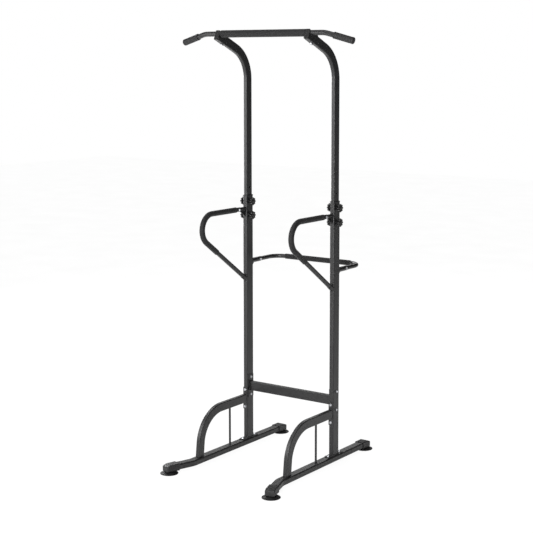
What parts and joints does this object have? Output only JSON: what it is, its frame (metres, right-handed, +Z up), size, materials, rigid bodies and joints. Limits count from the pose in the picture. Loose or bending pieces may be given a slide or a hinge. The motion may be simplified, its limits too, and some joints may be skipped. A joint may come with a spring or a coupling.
{
  "type": "power tower",
  "caption": "Free-standing pull-up and dip frame: telescoping uprights with star lock knobs, foam dip handles, rear bar and suction-cup feet.",
  "frame": {"origin": "on the floor, at the middle of the footprint", "axes": "+X along the pull-up bar, towards the upright on the user's right; +Y backwards, away from the pull-up bar's side; +Z up"},
  "size_m": [1.015, 0.988, 2.1702],
  "materials": {
    "powder_coat": "satin black powder coat",
    "black_plastic": "fine-grained moulded plastic",
    "cup_rubber": "smooth black rubber",
    "zinc_steel": "bright zinc-plated steel",
    "foam": "closed-cell foam with a fine matte skin",
    "grip_rubber": "moulded rubber with a raised pattern",
    "knob_plastic": "glossy black plastic"
  },
  "bodies": {
    "frame": {"base_tube_left": "powder_coat", "base_tube_right": "powder_coat", "front_cap_left": "black_plastic", "front_cap_right": "black_plastic", "rear_cap_left": "black_plastic", "rear_cap_right": "black_plastic", "front_cup_left": "cup_rubber", "front_cup_right": "cup_rubber", "rear_cup_left": "cup_rubber", "rear_cup_right": "cup_rubber", "cup_studs": "zinc_steel", "arch_brace_left": "powder_coat", "arch_brace_right": "powder_coat", "brace_rods": "powder_coat", "lower_upright_left": "powder_coat", "lower_upright_right": "powder_coat", "guide_bush_left": "black_plastic", "guide_bush_right": "black_plastic", "weld_nuts": "powder_coat", "crossbar": "powder_coat", "crossbar_bolts": "zinc_steel", "arch_bolts": "zinc_steel", "foot_bolts": "zinc_steel", "dip_bolts": "zinc_steel", "rear_bar_bolts": "zinc_steel", "frame_nuts": "zinc_steel", "dip_handle_left": "powder_coat", "dip_handle_right": "powder_coat", "dip_foam_left": "foam", "dip_foam_right": "foam", "rear_bar": "powder_coat", "rear_bar_foam": "foam"},
    "upper_frame": {"upper_tube_left": "powder_coat", "upper_tube_right": "powder_coat", "tube_shoes": "black_plastic", "bar_bracket_left": "powder_coat", "bar_bracket_right": "powder_coat", "pull_up_bar": "powder_coat", "bar_foam": "foam", "bar_grip_left": "grip_rubber", "bar_grip_right": "grip_rubber", "bracket_bolts": "zinc_steel", "bracket_nuts": "zinc_steel"},
    "washer_left_upper_outer": {"washer_left_upper_outer": "black_plastic"},
    "knob_left_upper_outer": {"knob_left_upper_outer": "knob_plastic"},
    "washer_left_upper_inner": {"washer_left_upper_inner": "black_plastic"},
    "knob_left_upper_inner": {"knob_left_upper_inner": "knob_plastic"},
    "washer_left_lower_outer": {"washer_left_lower_outer": "black_plastic"},
    "knob_left_lower_outer": {"knob_left_lower_outer": "knob_plastic"},
    "washer_left_lower_inner": {"washer_left_lower_inner": "black_plastic"},
    "knob_left_lower_inner": {"knob_left_lower_inner": "knob_plastic"},
    "washer_right_upper_outer": {"washer_right_upper_outer": "black_plastic"},
    "knob_right_upper_outer": {"knob_right_upper_outer": "knob_plastic"},
    "washer_right_upper_inner": {"washer_right_upper_inner": "black_plastic"},
    "knob_right_upper_inner": {"knob_right_upper_inner": "knob_plastic"},
    "washer_right_lower_outer": {"washer_right_lower_outer": "black_plastic"},
    "knob_right_lower_outer": {"knob_right_lower_outer": "knob_plastic"},
    "washer_right_lower_inner": {"washer_right_lower_inner": "black_plastic"},
    "knob_right_lower_inner": {"knob_right_lower_inner": "knob_plastic"}
  },
  "joints": [
    {"name": "height_slide", "type": "slide", "parent": "frame", "child": "upper_frame", "axis": [0, 0, 1], "range_m": [-0.072, 0.216]},
    {"name": "travel_left_upper_outer", "type": "slide", "parent": "frame", "child": "washer_left_upper_outer", "axis": [1, 0, 0], "range_m": [0, 0.004]},
    {"name": "turn_left_upper_outer", "type": "hinge", "parent": "washer_left_upper_outer", "child": "knob_left_upper_outer", "pos_m": [-0.267, 0.15497, 1.3005], "axis": [1, 0, 0], "range_deg": [0, 720]},
    {"name": "travel_left_upper_inner", "type": "slide", "parent": "frame", "child": "washer_left_upper_inner", "axis": [-1, 0, 0], "range_m": [0, 0.004]},
    {"name": "turn_left_upper_inner", "type": "hinge", "parent": "washer_left_upper_inner", "child": "knob_left_upper_inner", "pos_m": [-0.267, 0.15497, 1.3005], "axis": [-1, 0, 0], "range_deg": [0, 720]},
    {"name": "travel_left_lower_outer", "type": "slide", "parent": "frame", "child": "washer_left_lower_outer", "axis": [1, 0, 0], "range_m": [0, 0.004]},
    {"name": "turn_left_lower_outer", "type": "hinge", "parent": "washer_left_lower_outer", "child": "knob_left_lower_outer", "pos_m": [-0.267, 0.15497, 1.2285], "axis": [1, 0, 0], "range_deg": [0, 720]},
    {"name": "travel_left_lower_inner", "type": "slide", "parent": "frame", "child": "washer_left_lower_inner", "axis": [-1, 0, 0], "range_m": [0, 0.004]},
    {"name": "turn_left_lower_inner", "type": "hinge", "parent": "washer_left_lower_inner", "child": "knob_left_lower_inner", "pos_m": [-0.267, 0.15497, 1.2285], "axis": [-1, 0, 0], "range_deg": [0, 720]},
    {"name": "travel_right_upper_outer", "type": "slide", "parent": "frame", "child": "washer_right_upper_outer", "axis": [-1, 0, 0], "range_m": [0, 0.004]},
    {"name": "turn_right_upper_outer", "type": "hinge", "parent": "washer_right_upper_outer", "child": "knob_right_upper_outer", "pos_m": [0.267, 0.15497, 1.3005], "axis": [-1, 0, 0], "range_deg": [0, 720]},
    {"name": "travel_right_upper_inner", "type": "slide", "parent": "frame", "child": "washer_right_upper_inner", "axis": [1, 0, 0], "range_m": [0, 0.004]},
    {"name": "turn_right_upper_inner", "type": "hinge", "parent": "washer_right_upper_inner", "child": "knob_right_upper_inner", "pos_m": [0.267, 0.15497, 1.3005], "axis": [1, 0, 0], "range_deg": [0, 720]},
    {"name": "travel_right_lower_outer", "type": "slide", "parent": "frame", "child": "washer_right_lower_outer", "axis": [-1, 0, 0], "range_m": [0, 0.004]},
    {"name": "turn_right_lower_outer", "type": "hinge", "parent": "washer_right_lower_outer", "child": "knob_right_lower_outer", "pos_m": [0.267, 0.15497, 1.2285], "axis": [-1, 0, 0], "range_deg": [0, 720]},
    {"name": "travel_right_lower_inner", "type": "slide", "parent": "frame", "child": "washer_right_lower_inner", "axis": [1, 0, 0], "range_m": [0, 0.004]},
    {"name": "turn_right_lower_inner", "type": "hinge", "parent": "washer_right_lower_inner", "child": "knob_right_lower_inner", "pos_m": [0.267, 0.15497, 1.2285], "axis": [1, 0, 0], "range_deg": [0, 720]}
  ],
  "couplings": [
    {"joint": "travel_left_upper_outer", "follows": "turn_left_upper_outer", "m_per_rad": 0.00031831},
    {"joint": "travel_left_upper_inner", "follows": "turn_left_upper_inner", "m_per_rad": 0.00031831},
    {"joint": "travel_left_lower_outer", "follows": "turn_left_lower_outer", "m_per_rad": 0.00031831},
    {"joint": "travel_left_lower_inner", "follows": "turn_left_lower_inner", "m_per_rad": 0.00031831},
    {"joint": "travel_right_upper_outer", "follows": "turn_right_upper_outer", "m_per_rad": 0.00031831},
    {"joint": "travel_right_upper_inner", "follows": "turn_right_upper_inner", "m_per_rad": 0.00031831},
    {"joint": "travel_right_lower_outer", "follows": "turn_right_lower_outer", "m_per_rad": 0.00031831},
    {"joint": "travel_right_lower_inner", "follows": "turn_right_lower_inner", "m_per_rad": 0.00031831}
  ]
}
